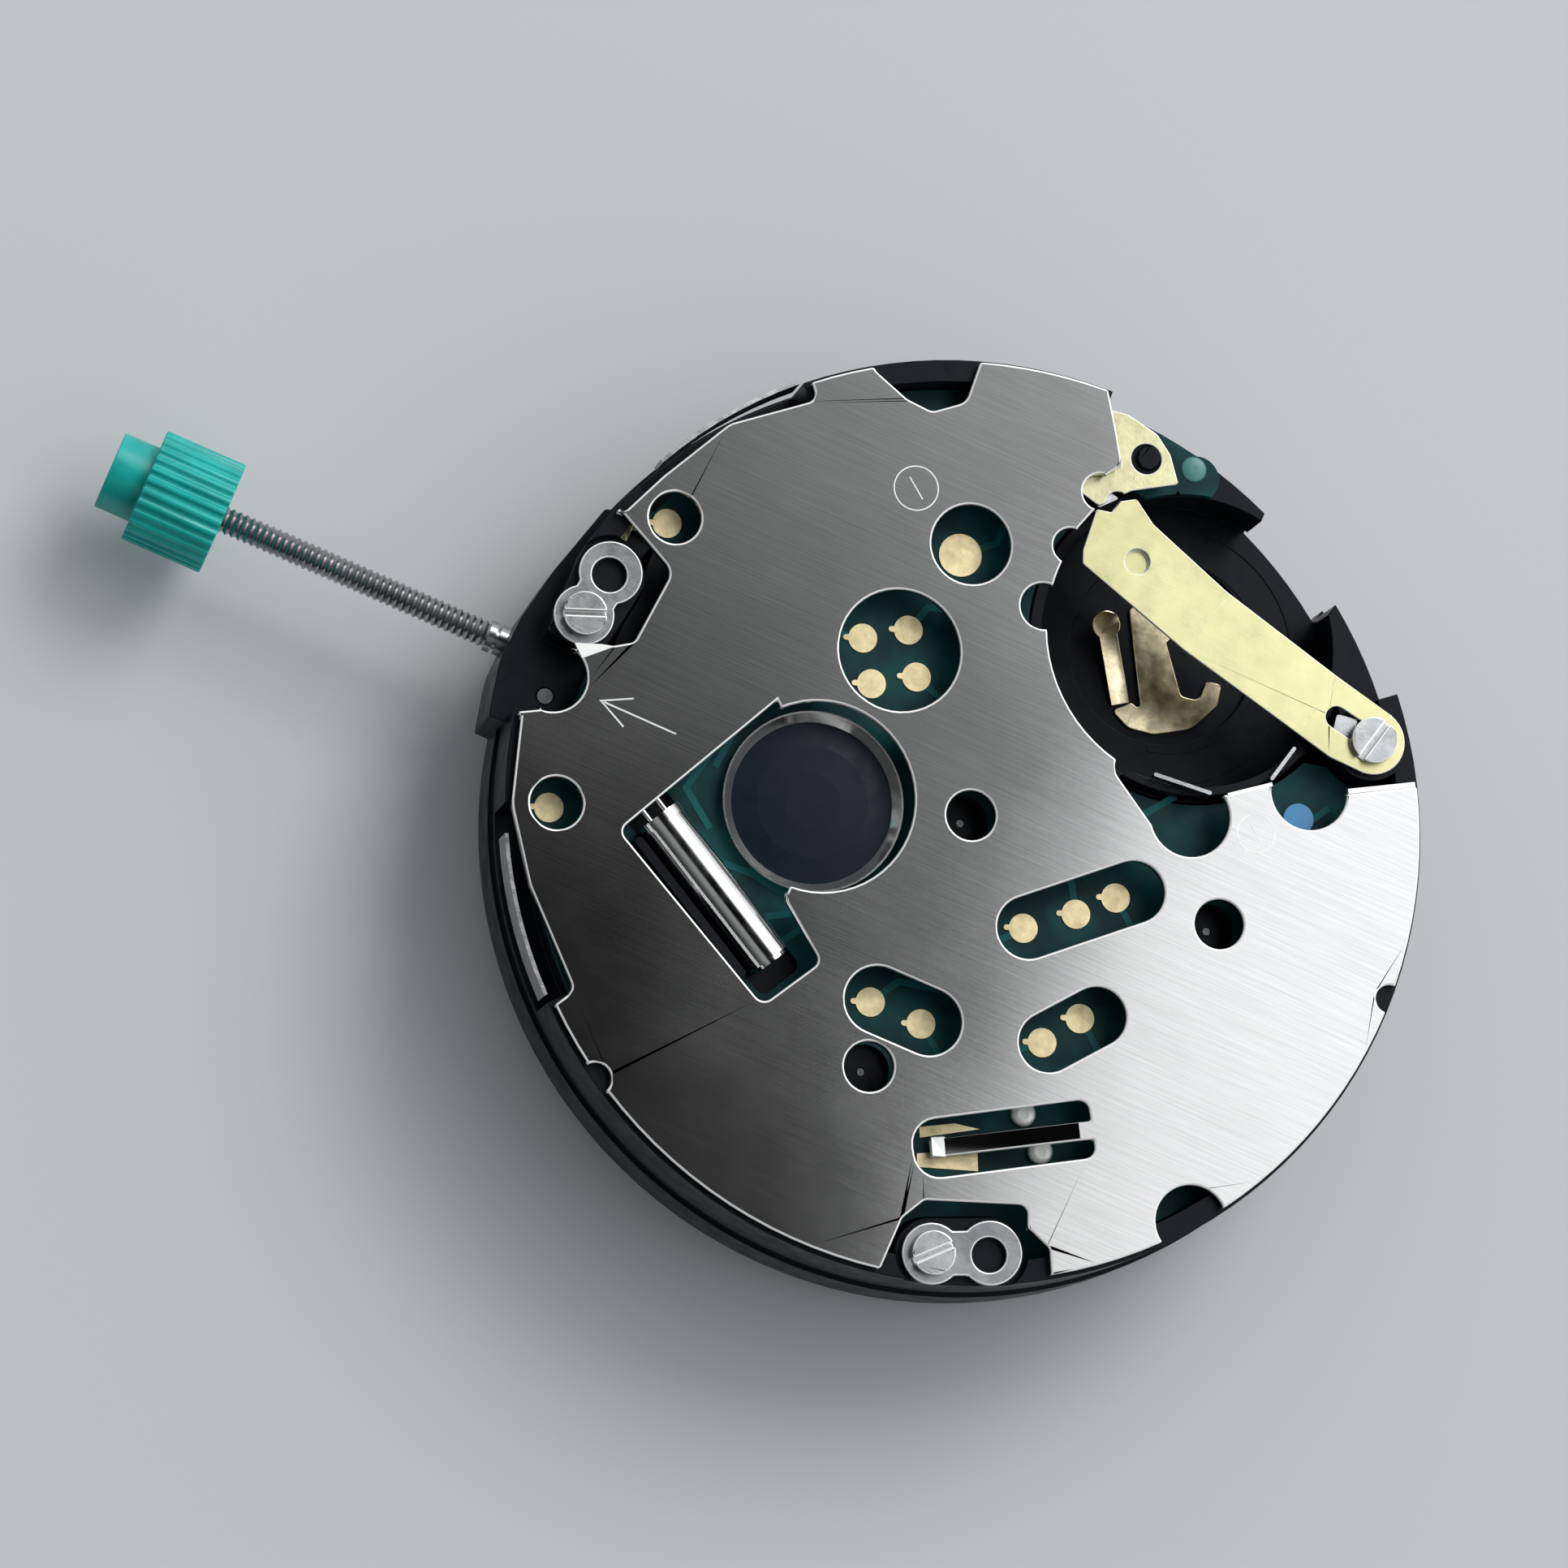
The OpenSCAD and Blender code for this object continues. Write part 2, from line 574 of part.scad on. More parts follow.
module negative_contact() color("#b39b6d") layer(recess_floor, recess_floor + contact_t)
    outline([[-6.68, -8.42, 0.15], [-6.8, -7.7, 0.3], [-6.3, -6.65, 0.9], [-5.2, -5.95, 0.8],
        [-4.3, -5.8, 0.5], [-3.6, -6.12, 0.12], [-4.1, -6.62, 0.1], [-4.5, -6.5, 0.1], [-2.92, -9.45, 0],
        [-3.2, -10.2, 0.3], [-4.75, -9.6, 0.3], [-4.46, -8.95, 0], [-5.55, -7.5, 0.2], [-6.15, -7.6, 0.25],
        [-6.15, -8.3, 0.15]]);

arm_root = [-3.86, -6.3];
arm_tip = [-2.3, -8.6];
arm_rise = 9;

// Sprung arm of the negative contact; it rises to its round tip
module contact_arm() color("#b39b6d") {
    length = norm(arm_tip - arm_root);
    hinge_gap = 0.16;
    translate([arm_root[0], arm_root[1], recess_floor + 0.03])
        rotate([0, -arm_rise, heading(arm_root, arm_tip)]) layer(0, contact_t) {
            translate([hinge_gap, -0.31]) square([length - hinge_gap, 0.62]);
            translate([length, 0]) circle(0.47);
        }
}

module sealing_dot() color("#4f9fd6") rod([-10.1, -4.55], 0.5, board_top, board_top + 0.05);

module start_stop_leaf() color("#9a9da1") leaf(-1);
module reset_leaf() color("#9a9da1") leaf(1);

leaf_r = 14.95;
leaf_t = 0.12;

// Upright leaf spring behind a push-piece; side is 1 at 4 o'clock and -1 at 2 o'clock
module leaf(side) layer(3.95, cover_top - 0.03) {
    intersection() {
        difference() {
            circle(leaf_r, $fn = 180);
            circle(leaf_r - leaf_t, $fn = 180);
        }
        slice(side * 26, side * 46.2, 0, 20);
    }
}

// ---- Motors ----

core_t = 0.16;
core_half = 0.3;

module coil(at, dir, core_low) color("#a8552c") translate([at[0], at[1], 0]) rotate(dir) difference() {
    translate([0, 0, 2.68]) rotate([0, 90, 0]) {
        translate([0, 0, -coil_len / 2]) cylinder(r = 0.6, h = coil_len);
        for (s = [-1, 1]) translate([0, 0, s * (coil_len / 2 - 0.1) - 0.1]) cylinder(r = 0.64, h = 0.2);
    }
    translate([-5, -core_half - 0.02, core_low - 0.02])
        cube([10, 2 * core_half + 0.04, core_t + 0.04]);
}

// Steel core through a coil, with two legs to the flux plate round its rotor
module stator(at, dir, rotor, low) color("#9a9da1") {
    along = [cos(dir), sin(dir)];
    across = [-along[1], along[0]] * sign((rotor - at) * [-along[1], along[0]]);
    ends = [for (s = [-1, 1]) at + s * (coil_len / 2 + core_half + 0.15) * along];
    layer(low, low + core_t) difference() {
        union() {
            bar(ends[0], ends[1], core_half);
            for (e = ends) {
                bar(e, e + across * 1.15, core_half);
                bar(e + across * 1.15, rotor, core_half);
            }
            translate(rotor) circle(1.1);
        }
        translate(rotor) circle(0.7);
    }
}

time_core_low = 2.6;
chrono_core_low = 2.3;

module time_coil() coil(time_coil_at, time_coil_dir, time_core_low);
module time_stator() stator(time_coil_at, time_coil_dir, time_rotor_at, time_core_low);
module chrono_coil() coil(chrono_coil_at, chrono_coil_dir, chrono_core_low);
module chrono_stator() stator(chrono_coil_at, chrono_coil_dir, chrono_rotor_at, chrono_core_low);

// ---- Keyless work ----

module stem_shape() {
    neck = 15.75;
    ring = 16.1;
    teeth = floor((crown_x + 2 - ring) / thread_pitch);
    // Half outline of the stem, as [distance along the axis, radius]
    profile = [[6.9, 0], [6.9, 0.25], [8.3, 0.25], [8.3, 0], [10.65, 0], [10.65, stem_r],
        [groove_x - 0.32, stem_r], [groove_x - 0.32, 0.27], [groove_x + 0.32, 0.27],
        [groove_x + 0.32, stem_r], [neck, stem_r], [neck, 0.36], [neck + 0.12, 0.36],
        [neck + 0.12, 0.52], [ring, 0.52], [ring, 0.38],
        for (i = [0:teeth - 1]) each [[ring + (i + 0.25) * thread_pitch, thread_r - 0.09],
            [ring + (i + 0.75) * thread_pitch, thread_r]],
        [ring + teeth * thread_pitch, 0.38], [ring + teeth * thread_pitch, 0]];
    rotate([0, 90, 0]) rotate_extrude() polygon([for (p = profile) [p[1], p[0]]]);
}

square_w = 0.6;

module stem() color("#9b9ea2") translate([0, 0, stem_z]) {
    stem_shape();
    translate([8.25, -square_w / 2, -square_w / 2]) cube([2.45, square_w, square_w]);
}

module sliding_pinion() color("#b9bcbf") translate([0, 0, stem_z]) difference() {
    rotate([0, 90, 0]) union() {
        translate([0, 0, 8.35]) linear_extrude(0.45) polygon(tooth_ring(14, 0.11, 0));
        translate([0, 0, 8.75]) cylinder(r = 0.5, h = 0.5);
        translate([0, 0, 9.2]) cylinder(r = 0.82, h = 0.9);
    }
    gap = 0.02;
    hole_w = square_w + 2 * gap;
    translate([8, -hole_w / 2, -hole_w / 2]) cube([3, hole_w, hole_w]);
}

module crown() color("#00a58c") translate([crown_x, 0, stem_z]) rotate([0, 90, 0]) difference() {
    union() {
        linear_extrude(crown_len) polygon([for (i = [0:crown_ribs - 1], k = [0:3])
            let (a = (i + [0.05, 0.25, 0.55, 0.75][k]) * 360 / crown_ribs,
                r = crown_r - (k == 0 || k == 3 ? 0.09 : 0))
            r * [cos(a), sin(a)]]);
        translate([0, 0, crown_len - eps]) cylinder(r = 1.27, h = 1.2);
    }
    translate([0, 0, -eps]) cylinder(r = thread_r, h = 2);
}

module setting_lever() color("#a9acb0") {
    rest = -asin(stem_travel / 2 / lever_reach);
    finger = lever_at + lever_reach * [sin(rest), -cos(rest)];
    layer(1.05, 1.35) {
        bar(finger, lever_at, 0.17);
        translate(lever_at) circle(0.5);
        bar(lever_at, lever_at + [-0.3, 0.2], 0.22);
    }
    rod(lever_at, 0.25, 1.05, 3.42);
}

module yoke_spring() color("#b9bcbf") layer(0.3, 0.45) {
    bar([9, -2.9], [9, -1.3], 0.14);
    translate([9, -2.9]) circle(0.38);
}

// ---- Motion work, below the floor ----

cannon_phase = heading(hands, minute_at);
minute_phase = mesh_phase(12, cannon_phase, 36, heading(hands, minute_at));
hour_phase = mesh_phase(10, 0, 40, heading(minute_at, hands));
setting_phase = mesh_phase(36, minute_phase, 24, heading(minute_at, setting_at));

module cannon_pinion() color("#b9bcbf") difference() {
    union() {
        toothed(12, 0.125, cannon_phase, 0.68, 0.9);
        rod(hands, minute_end_r, -1.5, -1);
        rod(hands, cannon_r, -1.02, 2.3);
    }
    rod(hands, chrono_arbor_r + pivot_gap, -2, 3);
}

module hour_wheel() color("#c9a64d") difference() {
    toothed(40, 0.12, hour_phase, 0.3, 0.45);
    rod(hands, hour_shoulder_r, 0, 1);
}

module hour_pipe() color("#c9a64d") difference() {
    union() {
        rod(hands, hour_end_r, -1, 0.01);
        rod(hands, hour_shoulder_r, 0, 0.6);
    }
    rod(hands, cannon_r + pivot_gap, -2, 2);
}

module minute_wheel() color("#c9a64d") translate([minute_at[0], minute_at[1], 0]) {
    toothed(36, 0.125, minute_phase, 0.72, 0.86);
    toothed(10, 0.12, 0, 0.28, 0.73);
    rod(hands, 0.12, 0.05, 0.4);
    rod(hands, 0.15, 0.8, 1.28);
}

module setting_wheel() color("#b9bcbf") translate([setting_at[0], setting_at[1], 0]) {
    toothed(24, 0.125, setting_phase, 0.72, 0.86);
    rod(hands, 0.3, 0.24, 0.8);
    rod(hands, 0.12, 0.05, 0.4);
    rod(hands, 0.15, 0.8, 1.28);
}

// ---- Time train, between the floor and the bridge ----

third_phase = 0;
third_pinion_phase = 0;
seconds_pinion_phase = mesh_phase(60, third_phase, 8, heading(third_at, seconds_at));
centre_phase = mesh_phase(8, third_pinion_phase, 64, heading(third_at, hands));
seconds_phase = 0;
mid_pinion_phase = mesh_phase(40, seconds_phase, 8, heading(seconds_at, time_mid_at));
mid_phase = 0;
rotor_phase = mesh_phase(36, mid_phase, 6, heading(time_mid_at, time_rotor_at));

// Arbor between the floor and the bridge, with a thin pivot at each end
module arbor(low, high) {
    rod(hands, 0.16, low, high);
    rod(hands, 0.12, 1.7, low + eps);
    rod(hands, 0.12, high - eps, bridge_top - 0.03);
}

module centre_wheel() color("#c9a64d") difference() {
    toothed(64, 0.125, centre_phase, 2.1, 2.22);
    rod(hands, cannon_r, 0, 5);
}

module third_wheel() color("#c9a64d") translate([third_at[0], third_at[1], 0]) {
    toothed(60, 0.13, third_phase, 2.58, 2.58 + wheel_t);
    toothed(8, 0.125, third_pinion_phase, 2.06, 2.32);
    arbor(2.03, 3.3);
}

// Hand arbor of a sub-dial: the hand's end, the shoulder in the plate, the wheel's seat and the pivot
module dial_arbor() {
    rod(hands, dial_end_r, -1.2, -0.4);
    rod(hands, dial_arbor_r, -0.41, 2.1);
    rod(hands, 0.2, 2.09, 3.3);
    rod(hands, 0.12, 3.3 - eps, bridge_top - 0.03);
}

module seconds_arbor() color("#b9bcbf") translate([seconds_at[0], seconds_at[1], 0]) dial_arbor();
module counter_arbor() color("#b9bcbf") translate([counter_at[0], counter_at[1], 0]) dial_arbor();

module seconds_wheel() color("#c9a64d") translate([seconds_at[0], seconds_at[1], 0]) difference() {
    seconds_gears();
    rod(hands, 0.2, 0, 4);
}

module seconds_gears() {
    toothed(40, 0.11, seconds_phase, 2.9, 2.9 + wheel_t);
    toothed(8, 0.13, seconds_pinion_phase, 2.5, 2.78);
    rod(hands, 0.34, 2.77, 2.91);
}

module time_intermediate_wheel() color("#c9a64d") translate([time_mid_at[0], time_mid_at[1], 0]) {
    toothed(36, 0.1, mid_phase, 2.2, 2.2 + wheel_t);
    toothed(8, 0.11, mid_pinion_phase, 2.84, 3.08);
    arbor(2.03, 3.3);
}

module rotor(phase) {
    toothed(6, 0.1, phase, 2.14, 2.38);
    rod(hands, 0.6, 2.5, 2.95);
    arbor(2.03, 3.3);
}

module time_rotor() color("#6f7276") translate([time_rotor_at[0], time_rotor_at[1], 0]) rotor(rotor_phase);

// ---- Chronograph train ----

chrono_phase = 0;
chrono_pinion_phase = 0;
chrono_mid_pinion_phase = mesh_phase(40, chrono_phase, 8, heading(hands, chrono_mid_at));
chrono_mid_phase = 0;
chrono_rotor_phase = mesh_phase(36, chrono_mid_phase, 6, heading(chrono_mid_at, chrono_rotor_at));
idler_phase = mesh_phase(8, chrono_pinion_phase, 60, heading(hands, idler_at));
idler_pinion_phase = 0;
counter_phase = mesh_phase(8, idler_pinion_phase, 64, heading(idler_at, counter_at));

module chrono_seconds_wheel() color("#c9a64d") difference() {
    union() {
        toothed(40, 0.11, chrono_phase, 2.95, 2.95 + wheel_t);
        toothed(8, 0.13, chrono_pinion_phase, 3.06, 3.32);
    }
    rod(hands, 0.15, 0, 4);
}

module chrono_arbor() color("#b9bcbf") {
    rod(hands, chrono_end_r, -1.9, -1.5);
    rod(hands, chrono_arbor_r, -1.52, 2.6);
    rod(hands, 0.15, 2.59, 3.3);
    rod(hands, 0.12, 3.3 - eps, bridge_top - 0.03);
}

module chrono_intermediate_wheel() color("#c9a64d") translate([chrono_mid_at[0], chrono_mid_at[1], 0]) {
    toothed(36, 0.1, chrono_mid_phase, 2.6, 2.6 + wheel_t);
    toothed(8, 0.11, chrono_mid_pinion_phase, 2.9, 3.12);
    rod(hands, 0.16, 2.53, 3.3);
    rod(hands, 0.12, 2.37, 2.54);
    rod(hands, 0.12, 3.3 - eps, bridge_top - 0.03);
}

module chrono_rotor() color("#6f7276") translate([chrono_rotor_at[0], chrono_rotor_at[1], 0]) {
    toothed(6, 0.1, chrono_rotor_phase, 2.54, 2.78);
    rod(hands, 0.6, 2.26, 2.52);
    arbor(2.03, 3.3);
}

module counter_idler() color("#c9a64d") translate([idler_at[0], idler_at[1], 0]) {
    toothed(60, 0.13, idler_phase, 3.15, 3.15 + wheel_t);
    toothed(8, 0.125, idler_pinion_phase, 2.82, 3.08);
    arbor(2.03, 3.3);
}

module minute_counter_wheel() color("#c9a64d") translate([counter_at[0], counter_at[1], 0]) difference() {
    toothed(64, 0.125, counter_phase, 2.88, 2.88 + wheel_t);
    rod(hands, 0.2, 0, 4);
}

main_plate();
motion_work_cover();
motion_cover_screws();
train_bridge();
centre_bridge();
bridge_screws();
circuit_board();
test_pads();
quartz_crystal();
crystal_cradle();
chip_dam_ring();
chip_potting();
cover_plate();
case_clamps();
clamp_screws();
strap_screw();
strap_earth_tab();
contact_plate();
contact_spring();
battery_side_springs();
negative_contact();
sealing_dot();
time_coil();
time_stator();
chrono_coil();
chrono_stator();
yoke_spring();
battery_strap();
contact_arm();
start_stop_leaf();
reset_leaf();
sliding_pinion();
stem();
crown();
setting_lever();
centre_wheel();
cannon_pinion();
hour_wheel();
hour_pipe();
minute_wheel();
setting_wheel();
time_rotor();
time_intermediate_wheel();
third_wheel();
seconds_wheel();
seconds_arbor();
chrono_rotor();
chrono_intermediate_wheel();
chrono_seconds_wheel();
chrono_arbor();
counter_idler();
minute_counter_wheel();
counter_arbor();
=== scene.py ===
"""Quartz chronograph watch movement: materials, small details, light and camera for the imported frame."""
import json
import math

import bmesh
import bpy
from mathutils import Matrix, Vector


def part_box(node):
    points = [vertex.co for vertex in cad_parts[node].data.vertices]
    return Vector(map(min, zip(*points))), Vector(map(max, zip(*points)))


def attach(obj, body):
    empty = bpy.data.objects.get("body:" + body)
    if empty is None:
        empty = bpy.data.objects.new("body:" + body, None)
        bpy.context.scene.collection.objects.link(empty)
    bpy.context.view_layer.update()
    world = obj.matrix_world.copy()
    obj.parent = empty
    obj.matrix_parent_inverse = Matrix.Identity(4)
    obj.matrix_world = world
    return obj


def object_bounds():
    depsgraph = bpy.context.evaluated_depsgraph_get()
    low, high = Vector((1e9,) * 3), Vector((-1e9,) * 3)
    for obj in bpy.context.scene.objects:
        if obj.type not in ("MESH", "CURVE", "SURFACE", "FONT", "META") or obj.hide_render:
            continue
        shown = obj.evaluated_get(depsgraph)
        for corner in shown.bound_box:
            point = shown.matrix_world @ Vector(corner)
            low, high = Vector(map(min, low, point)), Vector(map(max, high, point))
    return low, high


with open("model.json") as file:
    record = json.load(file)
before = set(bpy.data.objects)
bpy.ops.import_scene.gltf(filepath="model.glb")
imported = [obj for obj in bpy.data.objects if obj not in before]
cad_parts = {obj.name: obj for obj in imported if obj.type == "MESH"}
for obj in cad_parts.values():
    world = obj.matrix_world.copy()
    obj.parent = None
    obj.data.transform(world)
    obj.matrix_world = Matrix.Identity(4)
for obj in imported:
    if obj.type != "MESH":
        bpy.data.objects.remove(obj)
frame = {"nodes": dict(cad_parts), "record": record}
NODES = frame["nodes"]
MM = 0.001
UM = 0.000001
cad_low, cad_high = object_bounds()

# Levels of the movement, in mm above the dial seat
COVER_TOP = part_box("cover_plate")[1].z / MM
BOARD_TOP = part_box("circuit_board")[1].z / MM


# ---- Materials ----

class Look:
    """A Principled material under construction; links node sockets by short calls."""

    def __init__(self, name, color, metallic=0.0, rough=0.5, **sockets):
        self.mat = bpy.data.materials.new(name)
        self.mat.use_nodes = True
        self.tree = self.mat.node_tree
        self.shader = self.tree.nodes["Principled BSDF"]
        self.rough = rough
        self.set(self.shader, "Base Color", (*color, 1))
        self.set(self.shader, "Metallic", metallic)
        self.set(self.shader, "Roughness", rough)
        for socket, value in sockets.items():
            self.set(self.shader, socket.replace("_", " "), value)
        self.coords = self.node("ShaderNodeTexCoord").outputs["Object"]
        self.bump_from = None

    @staticmethod
    def set(node, socket, value):
        node.inputs[socket].default_value = value

    def node(self, kind, **settings):
        new = self.tree.nodes.new(kind)
        for key, value in settings.items():
            setattr(new, key, value)
        return new

    def link(self, out, to):
        self.tree.links.new(out, to)

    def stretched(self, scale, turn=0.0):
        """Object coordinates scaled along each axis after a turn about Z."""
        mapping = self.node("ShaderNodeMapping")
        self.link(self.coords, mapping.inputs["Vector"])
        self.set(mapping, "Scale", scale)
        self.set(mapping, "Rotation", (0, 0, math.radians(turn)))
        return mapping.outputs["Vector"]

    def noise(self, scale, detail=4.0, vector=None, rough=0.6):
        """Noise of the given size; scale is in features per millimetre."""
        tex = self.node("ShaderNodeTexNoise")
        self.set(tex, "Scale", scale / MM)
        self.set(tex, "Detail", detail)
        self.set(tex, "Roughness", rough)
        self.link(vector or self.coords, tex.inputs["Vector"])
        return tex.outputs["Fac"]

    def ramp(self, fac, low, high, a=(0, 0, 0), b=(1, 1, 1)):
        ramp = self.node("ShaderNodeValToRGB")
        ramp.color_ramp.elements[0].position = low
        ramp.color_ramp.elements[1].position = high
        ramp.color_ramp.elements[0].color = (*a, 1)
        ramp.color_ramp.elements[1].color = (*b, 1)
        self.link(fac, ramp.inputs["Fac"])
        return ramp.outputs["Color"]

    def paint(self, fac, low, high, a, b):
        """Base colour that runs from a to b as fac goes from low to high."""
        self.link(self.ramp(fac, low, high, a, b), self.shader.inputs["Base Color"])
        return self

    def roughen(self, fac, low, high):
        """Roughness between low and high."""
        span = self.node("ShaderNodeMapRange")
        self.link(fac, span.inputs["Value"])
        self.set(span, "From Min", 0.3)
        self.set(span, "From Max", 0.7)
        self.set(span, "To Min", low)
        self.set(span, "To Max", high)
        self.link(span.outputs["Result"], self.shader.inputs["Roughness"])
        return self

    def bump(self, fac, depth_um):
        """Relief of the given depth in micrometres; calls add up."""
        bump = self.node("ShaderNodeBump")
        self.set(bump, "Distance", depth_um * UM)
        self.link(fac, bump.inputs["Height"])
        if self.bump_from:
            self.link(self.bump_from, bump.inputs["Normal"])
        self.bump_from = bump.outputs["Normal"]
        self.link(self.bump_from, self.shader.inputs["Normal"])
        return self

    def grain(self, direction, amount):
        """Highlights drawn out across a grain that runs along direction, in the piece's own axes."""
        across = self.node("ShaderNodeCombineXYZ")
        for axis, value in zip("XYZ", (-direction[1], direction[0], 0)):
            self.set(across, axis, value)
        turned = self.node("ShaderNodeVectorTransform", vector_type="VECTOR",
                           convert_from="OBJECT", convert_to="WORLD")
        self.link(across.outputs[0], turned.inputs[0])
        self.link(turned.outputs[0], self.shader.inputs["Tangent"])
        self.set(self.shader, "Anisotropic", amount)
        return self


def black_plastic():
    """Moulded plastic with a soft sheen and a slightly uneven skin."""
    look = Look("black_plastic", (0.005, 0.0065, 0.01), rough=0.42, Specular_IOR_Level=0.12)
    look.roughen(look.noise(1.2), 0.26, 0.46)
    look.bump(look.noise(0.6, 2), 14)
    look.bump(look.noise(6, 5), 2)
    return look.mat


def cover_steel():
    """Sheet steel with a faint rolling grain, fine scratches and paler worn patches."""
    look = Look("cover_steel", (0.5, 0.5, 0.5), 1.0, 0.15)
    grain = look.noise(0.9, 5, look.stretched((0.35, 16, 16)), 0.7)
    scratches = look.noise(1.6, 3, look.stretched((0.12, 9, 9), 63))
    clouds = look.noise(0.16, 6)
    look.paint(grain, 0.3, 0.72, (0.43, 0.425, 0.42), (0.54, 0.54, 0.535))
    look.roughen(clouds, 0.08, 0.12)
    look.bump(grain, 0.45)
    look.bump(scratches, 0.06)
    look.bump(look.noise(0.09, 2), 5)
    look.grain((1, 0), 0.45)
    return look.mat


def plain_steel(name, color, rough, scale=1.5, depth=3, turn=0.0, grain=0.0, dull=0.78):
    """Steel with fine lines turned by an angle about Z, and patches that are duller by a factor."""
    look = Look(name, color, 1.0, rough)
    lines = look.noise(scale, 5, look.stretched((1, 12, 12), turn))
    tint = [c * dull for c in color]
    look.paint(look.noise(1.1, 5), 0.35, 0.7, tint, color)
    look.roughen(look.noise(2.3, 4), rough * 0.75, rough * 1.35)
    look.bump(lines, depth)
    if grain:
        angle = math.radians(turn)
        look.grain((math.cos(angle), -math.sin(angle)), grain)
    return look.mat


def gold(name, color, rough, mottling=0.75, scale=2.5, depth=2):
    """Gilt metal, mottled down to a darker tint."""
    look = Look(name, color, 1.0, rough)
    tint = [c * mottling for c in color]
    look.paint(look.noise(scale, 6, None, 0.7), 0.38, 0.66, tint, color)
    look.roughen(look.noise(scale * 1.7, 5), rough * 0.8, rough * 1.3)
    look.bump(look.noise(5, 5), depth)
    return look.mat


def strap_gilt():
    """Pale gilt spring sheet with soft stains and fine scratches along the strap."""
    look = Look("strap_gilt", (0.62, 0.6, 0.33), 1.0, 0.3)
    look.paint(look.noise(0.5, 6, None, 0.65), 0.3, 0.72, (0.53, 0.5, 0.27), (0.65, 0.63, 0.35))
    look.roughen(look.noise(1.1, 5), 0.24, 0.4)
    look.bump(look.noise(1.2, 4, look.stretched((1.0, 12, 12), -46)), 1.2)
    look.bump(look.noise(0.5, 2), 8)
    return look.mat


def board_green():
    """Lacquered board: the copper under the lacquer shows as paler patches."""
    look = Look("board", (0.004, 0.04, 0.046), rough=0.5, Specular_IOR_Level=0.15)
    look.paint(look.noise(0.5, 2), 0.4, 0.62, (0.002, 0.026, 0.03), (0.004, 0.06, 0.062))
    look.bump(look.noise(2.2, 3), 5)
    return look.mat


def crown_green():
    """Green plastic that lets a little light into its surface."""
    look = Look("green_plastic", (0.0, 0.3, 0.26), rough=0.3,
                Subsurface_Weight=0.12, Subsurface_Scale=0.4 * MM)
    look.set(look.shader, "Subsurface Radius", (0.2, 1.0, 0.7))
    look.paint(look.noise(0.9, 4), 0.3, 0.72, (0.0, 0.34, 0.31), (0.0, 0.48, 0.44))
    look.roughen(look.noise(2, 4), 0.24, 0.42)
    look.bump(look.noise(3.5, 4), 5)
    return look.mat


def potting():
    """Dark resin drop with a slightly wavy top."""
    look = Look("potting", (0.005, 0.01, 0.018), rough=0.35, Specular_IOR_Level=0.15)
    look.roughen(look.noise(1.5, 5), 0.34, 0.52)
    look.bump(look.noise(9, 4), 1.5)
    look.bump(look.noise(0.5, 2), 18)
    return look.mat


LOOKS = {
    "black_plastic": black_plastic(),
    "plate_steel": plain_steel("plate_steel", (0.5, 0.51, 0.52), 0.35),
    "screw_steel": plain_steel("screw_steel", (0.5, 0.51, 0.52), 0.26, scale=3, depth=4, turn=35, dull=0.6),
    "gilt_brass": gold("gilt_brass", (0.72, 0.53, 0.24), 0.3),
    "board": board_green(),
    "gold_pad": gold("gold_pad", (0.82, 0.7, 0.42), 0.45, mottling=0.72, scale=1.6),
    "crystal_can": plain_steel("crystal_can", (0.82, 0.82, 0.81), 0.12, scale=1, depth=1, turn=29.6,
                               grain=0.3, dull=0.9),
    "dam_ring": plain_steel("dam_ring", (0.84, 0.84, 0.82), 0.1, scale=1.2, depth=1, dull=0.9),
    "potting": potting(),
    "mark_steel": plain_steel("mark_steel", (0.75, 0.75, 0.75), 0.4, scale=2, depth=1),
    "board_track": Look("board_track", (0.008, 0.1, 0.105), rough=0.5, Specular_IOR_Level=0.15).mat,
    "pale_teal": Look("pale_teal", (0.06, 0.22, 0.21), rough=0.35).mat,
    "crease_gilt": gold("crease_gilt", (0.68, 0.66, 0.39), 0.35),
    "cover_steel": cover_steel(),
    # Near-white edge finish: a painted highlight on the bevels, tabs, rims and tips that are given it
    "painted_highlight_steel": Look("painted_highlight_steel", (0.95, 0.95, 0.93), 0.35, 0.4).mat,
    "clamp_steel": plain_steel("clamp_steel", (0.36, 0.37, 0.38), 0.3, scale=2, depth=4, dull=0.6),
    "contact_brass": gold("contact_brass", (0.68, 0.66, 0.4), 0.24, mottling=0.85, scale=1.2),
    "dark_brass": gold("dark_brass", (0.95, 0.82, 0.55), 0.22, mottling=0.45, scale=1),
    "blue_dot": Look("blue_dot", (0.06, 0.3, 0.62), rough=0.25).mat,
    "winding": plain_steel("winding", (0.5, 0.2, 0.07), 0.35),
    "core_steel": plain_steel("core_steel", (0.4, 0.41, 0.42), 0.4),
    "strap_gilt": strap_gilt(),
    "leaf_steel": plain_steel("leaf_steel", (0.6, 0.61, 0.62), 0.24),
    "gear_steel": plain_steel("gear_steel", (0.16, 0.17, 0.18), 0.3),
    "stem_steel": plain_steel("stem_steel", (0.42, 0.42, 0.43), 0.24, scale=2, depth=2),
    "green_plastic": crown_green(),
    "magnet": plain_steel("magnet", (0.2, 0.2, 0.21), 0.5),
}

node_slot = {s["node"]: s["material_slot"] for s in frame["record"]["subparts"]}
for name, obj in NODES.items():
    obj.data.materials.clear()
    obj.data.materials.append(LOOKS[node_slot[name]])


# ---- Edges of the CAD pieces ----

HARD_EDGE = math.radians(20)
LEVEL_FACE = 0.995
JOIN_WITHIN = 0.1 * UM
ROUNDED_FROM = math.radians(35)
ROUND_STEPS = 2


